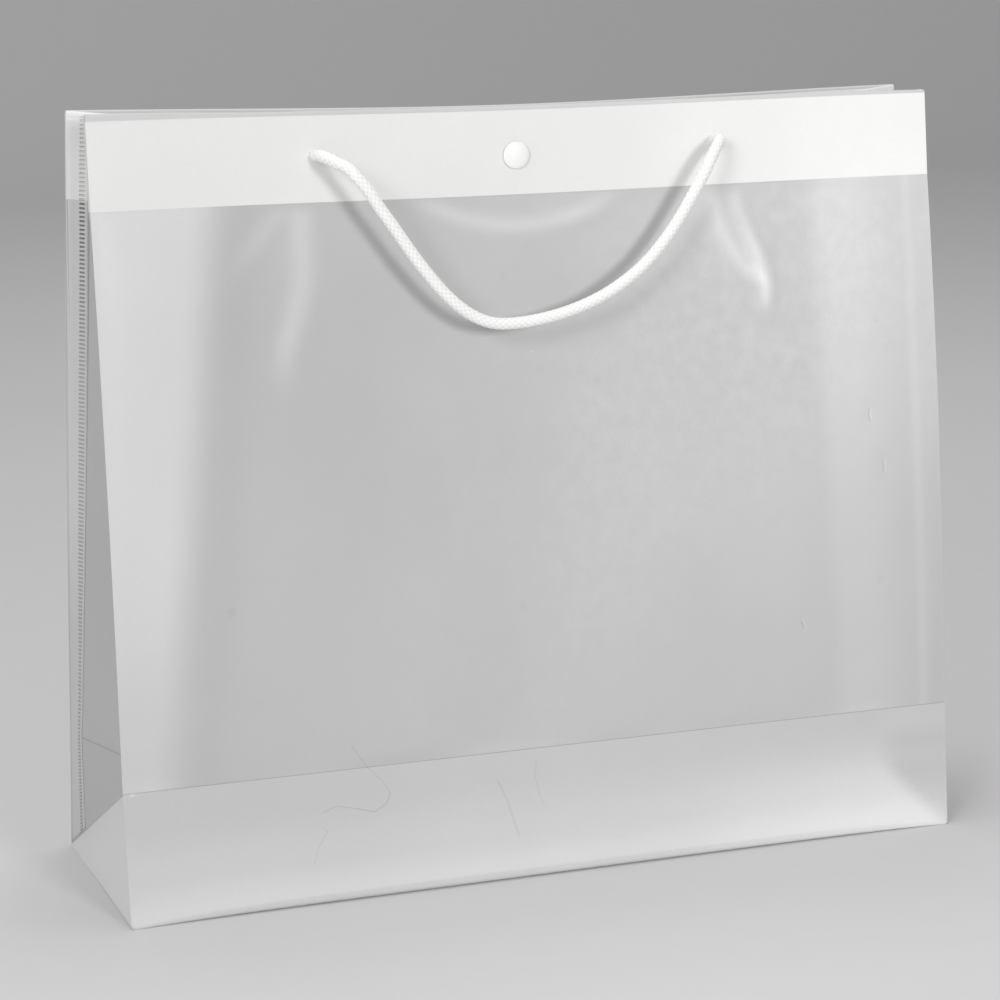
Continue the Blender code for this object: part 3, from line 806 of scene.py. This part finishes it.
@dataclass
class WeldFlap:
    """The flap welded down on the left gusset's rear half, with its row of weld marks."""

    shape: BagShape = SHAPE
    margin: float = 0.0005
    weld_at: float = 0.0080
    pitch: float = 0.00194
    tint: Triple = (0.995, 0.99, 0.99)
    # Painted light and shade of the flap: lighter above, darker towards its foot.
    painted_light: float = 0.62
    low_painted_light: float = 0.545
    hem_edge: float = 0.0389
    thin: float = 0.0001
    lift: float = 0.00006

    def build(self) -> Piece:
        """Build the flap on the gusset, ending along the slanting crease."""
        s = self.shape
        heights = np.linspace(0, s.upper - 2 * s.hem_round, 120)
        u = np.linspace(self.margin, s.flap, 9)
        spread = 0.80 + 0.52 * (heights / s.upper) ** 0.6
        wall = np.array(
            [
                s.half_gusset(Side.BACK, Hand.LEFT, height, u * wide)[0]
                for height, wide in zip(heights[:, None], spread)
            ]
        )
        base = np.array([-s.half, s.depth / 2, 0])
        slant = (s.middle_fold(np.zeros(1), Hand.LEFT)[0] - base) * (u / (s.depth / 2))[:, None]
        foot = base + slant
        shares = np.linspace(0.02, 0.98, 24)
        low = foot + (wall[0] - foot) * shares[:, None, None]
        points = np.concatenate([low, wall])
        run = points[:, -1, :2] - points[:, 0, :2]
        points[..., :2] += unit(run[:, ::-1] * [1, -1])[:, None] * self.lift
        rows, columns = points.shape[:2]
        piece = to_object("weld_flap", points, grid_faces(rows, columns))
        along = np.concatenate([s.crease * shares, s.crease + heights])
        give_values(piece.data, "across", np.broadcast_to(u, (rows, columns)))
        give_values(piece.data, "along", np.broadcast_to(along[:, None], (rows, columns)))
        thicken(piece, self.thin, 1)
        piece.data.materials.append(self.finish())
        return piece

    def finish(self) -> Material:
        """Frosted film with painted light and shade, darker towards the foot, and pressed dashes
        across the weld, darkest just under the hem.
        """
        n = Nodes.start("welded_film")
        across, along = n.attribute("across"), n.attribute("along")
        wide = n.range(along, 0.10, 0.14, 0.0010, 0.0015)
        wide = n.math("SUBTRACT", wide, n.range(along, 0.20, 0.29, 0, 0.0004))
        off = n.math("ABSOLUTE", n.math("SUBTRACT", across, self.weld_at))
        band = n.range(off, wide, n.math("SUBTRACT", wide, 0.0004), 0, 1)
        phase = n.math("FRACT", n.math("DIVIDE", along, self.pitch))
        dash = n.range(n.math("ABSOLUTE", n.math("SUBTRACT", phase, 0.5)), 0.26, 0.12, 0, 1)
        mark = n.math("MULTIPLY", band, dash)
        edge = self.shape.height - self.hem_edge
        hem = n.range(along, edge - 0.0002, edge + 0.0002, 0, 1)
        # Painted light and shade: darker towards the flap's foot, a separate level in the hem.
        below = n.range(along, 0.11, 0.17, self.low_painted_light, self.painted_light)
        level = n.range(hem, 0, 1, below, n.range(along, 0.325, 0.345, 0.80, 0.74))
        pressed = n.range(hem, 0, 1, n.range(along, 0.23, 0.30, 0.76, 0.30), 0.86)
        level = n.math("MULTIPLY", level, n.range(mark, 0, 1, 1, pressed))
        speckle = n.noise(n.place(), 900, 2)
        level = n.math("MULTIPLY", level, n.range(speckle, 0.25, 0.75, 0.98, 1.02))
        n.shader.inputs["Alpha"].default_value = 0.95
        return n.finish(self.tint, level, 0.4, n.relief(mark, -0.0004))


def braid(
    line: Array, along: Array, aside: Array, sizes: Pair, counts: tuple[int, int], turns: Array
) -> tuple[Array, Array]:
    """Rings of a braided cord round a line, and each point's height on its strand, 0 to 1.

    Two families of strands cross at a slant, and each diamond between their edges stands up
    like a pillow, by sqrt(|sin(pi a) sin(pi b)|), where a and b count each family's strands.

    Args:
        sizes: The cord's radius over its strands, and how far they stand up.
        counts: Strands round the cord, and points round a ring.
        turns: How many stitches lie before each point of the line.
    """
    radius, raised = sizes
    strands, sides = counts
    along, aside = unit(along), unit(aside)
    third = np.cross(along, aside)
    angle = np.linspace(0, 2 * pi, sides, endpoint=False)[None, :]
    u, v = strands * angle / (2 * pi), turns[:, None]
    crown = np.sqrt(abs(np.sin(pi * (u + v)) * np.sin(pi * (u - v))))
    reach = (radius - raised * (1 - crown))[..., None]
    out = np.cos(angle)[..., None] * aside[:, None] + np.sin(angle)[..., None] * third[:, None]
    return line[:, None] + reach * out, crown


@dataclass
class CordHandle:
    """A braided cord that hangs from a panel's two holes, with its knots inside the hem."""

    side: Side
    word: str
    shape: BagShape = SHAPE
    diameter: float = 0.0055
    spread: float = 0.192
    drop: float = 0.0187
    strands: int = 6
    stitch: float = 0.0030
    raised: float = 0.00030
    knot_width: float = 0.0118
    knot_thick: float = 0.0052
    route: tuple[Triple, ...] = (
        (-0.0908, 0.0185, 0.0018), (-0.0871, 0.0218, 0.0040), (-0.0842, 0.0232, 0.0074),
        (-0.0799, 0.0238, 0.0123), (-0.0737, 0.0238, 0.0215), (-0.0682, 0.0237, 0.0290),
        (-0.0618, 0.0236, 0.0382), (-0.0559, 0.0236, 0.0463), (-0.0458, 0.0235, 0.0585),
        (-0.0382, 0.0235, 0.0659), (-0.0307, 0.0234, 0.0712), (-0.0231, 0.0234, 0.0745),
        (-0.0151, 0.0233, 0.0757), (-0.0003, 0.0232, 0.0748), (0.0163, 0.0230, 0.0714),
        (0.0319, 0.0228, 0.0656), (0.0460, 0.0223, 0.0574), (0.0566, 0.0218, 0.0485),
        (0.0678, 0.0208, 0.0356), (0.0755, 0.0198, 0.0246), (0.0837, 0.0180, 0.0122),
        (0.0880, 0.0158, 0.0058), (0.0915, 0.0128, 0.0020),
    )

    def places(self) -> Array:
        """The route's points in the bag's frame, from one hole's inner end to the other's."""
        s = self.shape
        level = s.upper - self.drop
        ends = []
        for hand in (-1, 1):
            at = s.frame_on(hand * self.spread / 2, level, self.side)
            steps = (-s.panel_hem, 0, self.diameter, 1.4 * self.diameter)
            ends.append([tuple(at @ Vector((0, 0, out))) for out in steps])
        hole = s.panel_point(self.spread / 2, level, self.side)
        way = self.side.value
        route = [(-way * x, hole[1] + way * out, hole[2] - down) for x, out, down in self.route]
        if self.side is Side.BACK:
            route = route[::-1]
        return np.array(ends[0] + route + ends[1][::-1])

    def line(self, step: float) -> Array:
        """Points a step apart on the smooth curve through the route, by Catmull-Rom."""
        p = self.places()
        p = np.vstack([2 * p[0] - p[1], p, 2 * p[-1] - p[-2]])
        knots = np.append(0, np.cumsum(np.linalg.norm(np.diff(p, axis=0), axis=1) ** 0.5))
        pieces = []
        for i in range(1, len(p) - 2):
            t = np.linspace(knots[i], knots[i + 1], 40, endpoint=i == len(p) - 3)[:, None]
            k, q = knots[i - 1 : i + 3], list(p[i - 1 : i + 3])
            for level in (1, 2, 3):
                q = [
                    ((k[j + level] - t) * q[j] + (t - k[j]) * q[j + 1]) / (k[j + level] - k[j])
                    for j in range(4 - level)
                ]
            pieces.append(q[0])
        fine = np.vstack(pieces)
        run = np.append(0, np.cumsum(np.linalg.norm(np.diff(fine, axis=0), axis=1)))
        at = np.linspace(0, run[-1], round(run[-1] / step) + 1)
        return np.stack([np.interp(at, run, fine[:, i]) for i in range(3)], axis=1)

    def length(self) -> float:
        """The cord's length between the insides of its two holes."""
        return float(np.linalg.norm(np.diff(self.line(0.0005), axis=0), axis=1).sum())

    def build(self, material: Material) -> tuple[Piece, Array]:
        """Carry a braided section along the route; the piece, and the points that it follows."""
        step = 0.0003
        line = self.line(step)
        along = np.gradient(line, axis=0)
        aside = np.cross(along, [0.0, 1.0, 0.0]) + np.cross(along, [0.0, 0.0, 1.0]) * 1e-3
        turns = np.arange(len(line)) * step / self.stitch
        sizes = (self.diameter / 2, self.raised)
        rings, crown = braid(line, along, aside, sizes, (self.strands, 40), turns)
        ends = [np.broadcast_to(line[i], rings[:1].shape) for i in (0, -1)]
        rings = np.concatenate([ends[0], rings, ends[1]])
        crown = np.vstack([crown[:1] * 0, crown, crown[:1] * 0])
        return self.braided(f"{self.word}_handle_braid", rings, crown, material), line

    def knot(self, hand: Hand, material: Material) -> Piece:
        """Tie the cord's end inside the hem: a trefoil line, flattened, as a round tube.

        The line is (sin t + 2 sin 2t, cos t - 2 cos 2t, -sin 3t).
        """
        s = self.shape
        t = np.linspace(0, 2 * pi, 160, endpoint=False)
        thick = 0.0017
        flat = (self.knot_width / 2 - thick) / 3
        tall = self.knot_thick / 2 - thick
        trefoil = [np.sin(t) + 2 * np.sin(2 * t), np.cos(t) - 2 * np.cos(2 * t), -np.sin(3 * t)]
        line = np.stack(trefoil, axis=1) * [flat, flat, tall]
        along = np.roll(line, -1, axis=0) - np.roll(line, 1, axis=0)
        turns = np.arange(len(line)) / 5
        aside = np.cross(along, [0, 0, 1.0])
        rings, crown = braid(line, along, aside, (thick, 0.0002), (5, 24), turns)
        depth = s.panel_hem + s.clear + self.knot_thick / 2
        at = s.frame_on(hand.value * self.spread / 2, s.upper - self.drop, self.side)
        at = np.array(at @ Matrix.Translation((0, 0, -depth)))
        rings = rings @ at[:3, :3].T + at[:3, 3]
        rings, crown = np.concatenate([rings, rings[:1]]), np.vstack([crown, crown[:1]])
        return self.braided(f"{self.word}_{hand.name.lower()}_tied_knot", rings, crown, material)

    @staticmethod
    def braided(name: str, rings: Array, crown: Array, material: Material) -> Piece:
        """Make a closed piece of a braid's rings."""
        piece = to_object(name, rings, grid_faces(*rings.shape[:2], closed=True))
        give_values(piece.data, "crown", crown)
        weld(piece.data, 1e-7, outward=True)
        piece.data.materials.append(material)
        return piece


@dataclass
class SnapCap:
    """One outer cap of the press snap, on the post that goes through the hem."""

    side: Side
    word: str
    shape: BagShape = SHAPE
    drop: float = 0.0215
    across: float = 0.0124
    dome: float = 0.0022
    rim: float = 0.0007
    post: float = 0.0030
    head: float = 0.0040
    head_thick: float = 0.0005
    cup_floor: float = 0.0008

    def profile(self) -> Array:
        """Radius and distance out from the mouth's middle plane, down the cap's outer side."""
        s = self.shape
        seat = s.snap_half + s.clear
        a = np.linspace(0, pi / 2, 14)
        edge = self.across / 2
        rise = seat + self.rim + (self.dome - self.rim) * np.cos(a)
        dome = np.stack([edge * np.sin(a) ** 0.92, rise], axis=1)
        base = s.snap_gap / 2 - s.clear - self.cup_floor - s.clear
        tip = base - self.head_thick
        rest = [(edge, seat + self.rim * 0.4), (edge - 0.0003, seat)]
        rest += [(self.post / 2, level) for level in (seat, base)]
        rest += [(self.head / 2, base), (self.head / 2, tip), (0, tip)]
        return np.vstack([dome, rest])

    def build(self, material: Material) -> Piece:
        """Turn the profile about the snap's axis."""
        s = self.shape
        level = s.upper - self.drop
        height = s.panel_point(0, level, Side.FRONT)[2]
        profile = self.profile()
        angle = np.linspace(0, 2 * pi, 72, endpoint=False)[None, :]
        r, out = profile[:, :1], profile[:, 1:]
        y = np.broadcast_to(s.mouth_mid + self.side.value * out, (len(r), angle.size))
        points = np.stack([r * np.cos(angle), y, height + r * np.sin(angle)], axis=2)
        name = f"{self.word}_snap_dome"
        piece = to_object(name, points, grid_faces(len(r), angle.size, closed=True))
        weld(piece.data, 1e-7, outward=True)
        piece.data.set_sharp_from_angle(angle=radians(40))
        piece.data.materials.append(material)
        return piece


@dataclass
class Studio:
    """A plain pale floor that sweeps up behind, soft lamps, and the camera."""

    place: Triple = (-0.4765, -1.2570, 0.4663)
    azimuth: float = 20.496
    down: float = 12.720
    roll: float = -0.087
    lens: float = 107.02
    floor_tint: Triple = (0.62, 0.62, 0.62)

    def camera(self) -> None:
        """Put the camera at the photograph's viewing angle."""
        az, el, roll = (radians(v) for v in (self.azimuth, self.down, self.roll))
        ahead = Vector((np.sin(az) * np.cos(el), np.cos(az) * np.cos(el), -np.sin(el)))
        right = Vector((np.cos(az), -np.sin(az), 0))
        up = right.cross(ahead)
        c, s = np.cos(roll), np.sin(roll)
        right, up = right * c + up * s, up * c - right * s
        data = bpy.data.cameras.new("camera")
        data.lens, data.sensor_width, data.clip_end = self.lens, 36, 50
        camera = bpy.data.objects.new("camera", data)
        turn = Matrix((right, up, -ahead)).transposed().to_4x4()
        camera.matrix_world = Matrix.Translation(self.place) @ turn
        bpy.context.scene.collection.objects.link(camera)
        bpy.context.scene.camera = camera

    def floor(self) -> None:
        """Build the floor and its backdrop as one swept sheet, a quarter circle between them."""
        a = np.linspace(0, pi / 2, 24)
        run = np.concatenate([[-6.0], 2.5 + 1.5 * np.sin(a), [4.0]])
        rise = np.concatenate([[0.0], 1.5 * (1 - np.cos(a)), [6.0]])
        x = np.array([-8.0, 8.0])
        points = np.stack(np.broadcast_arrays(x[None, :], run[:, None], rise[:, None]), axis=2)
        floor = to_object("studio_floor", points, grid_faces(len(run), 2))
        n = Nodes.start("studio_floor")
        grain = n.noise(n.place(), 60, 2)
        level = n.range(grain, 0.3, 0.7, 0.995, 1.005)
        floor.data.materials.append(n.finish(self.floor_tint, level, 0.8))

    def lamp(self, name: str, place: Triple, size: float, watts: float) -> None:
        """Aim a square soft lamp at the bag's middle."""
        data = bpy.data.lights.new(name, "AREA")
        data.size, data.energy = size, watts
        lamp = bpy.data.objects.new(name, data)
        way = Vector((0, 0, 0.18)) - Vector(place)
        turn = way.to_track_quat("-Z", "Y").to_matrix().to_4x4()
        lamp.matrix_world = Matrix.Translation(place) @ turn
        bpy.context.scene.collection.objects.link(lamp)

    def light(self) -> None:
        """Light the bag from the front, twice from the left and from above, over an even world."""
        self.lamp("key_front", (0.35, -2.30, 0.78), 0.42, 19.0)
        self.lamp("fill_left", (-1.75, -1.85, 1.25), 0.8, 22)
        self.lamp("low_left", (-2.4, -0.6, 1.0), 1.6, 8)
        self.lamp("overhead", (0.0, 0.4, 2.4), 1.6, 24)
        world = bpy.data.worlds.new("studio_air")
        world.use_nodes = True
        background = world.node_tree.nodes["Background"]
        background.inputs["Color"].default_value = (0.8, 0.8, 0.8, 1)
        background.inputs["Strength"].default_value = 0.5
        bpy.context.scene.world = world

    def build(self) -> None:
        """Set up the whole studio."""
        self.camera()
        self.floor()
        self.light()
        bpy.context.scene.view_settings.view_transform = "Standard"


def rest_on_root(piece: Piece, slot: str, *nodes: str) -> None:
    """Make a piece ride on the bag and stand for its nodes, which are hidden."""
    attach(piece, "root")
    if nodes:
        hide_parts(*nodes)
    log.info("%s stands for %s", piece.name, ", ".join(nodes) or "nothing in the frame")


def dress(node: str, material: Material) -> None:
    """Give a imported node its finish."""
    piece = bpy.data.objects[node]
    piece.data.materials.clear()
    piece.data.materials.append(material)
    log.info("%s keeps its packed shape", node)


def main() -> None:
    """Build the studio, the cords, the snap, the sheet and its flap."""
    logging.basicConfig(level=logging.INFO, format="%(name)s: %(message)s")
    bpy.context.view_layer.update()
    Studio().build()
    cord, strip, snap = CordFinish().make(), STRIP.make(), SNAP.make()

    for side in Side:
        word = side.name.lower()
        handle = CordHandle(side, word)
        piece, line = handle.build(cord)
        rest_on_root(piece, "white_cord", f"{word}_handle_cord")
        for hand in Hand:
            knot = handle.knot(hand, cord)
            rest_on_root(knot, "white_cord", f"{word}_{hand.name.lower()}_knot")
        tuple(line[0])
        handle.length()
        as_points(line[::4])
        dress(f"{word}_stiffener", strip)
        cap = SnapCap(side, word).build(snap)
        rest_on_root(cap, "white_snap", f"snap_{word}_cap")
    for node in ("snap_socket", "snap_stud"):
        dress(node, snap)

    sheet = FilmSheet()
    film = sheet.build()
    film.data.materials.append(sheet.finish.make())
    rest_on_root(film, "frosted_film", "bag_sheet")
    rest_on_root(WeldFlap().build(), "frosted_film")

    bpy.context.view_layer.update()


if __name__ == "__main__":
    main()
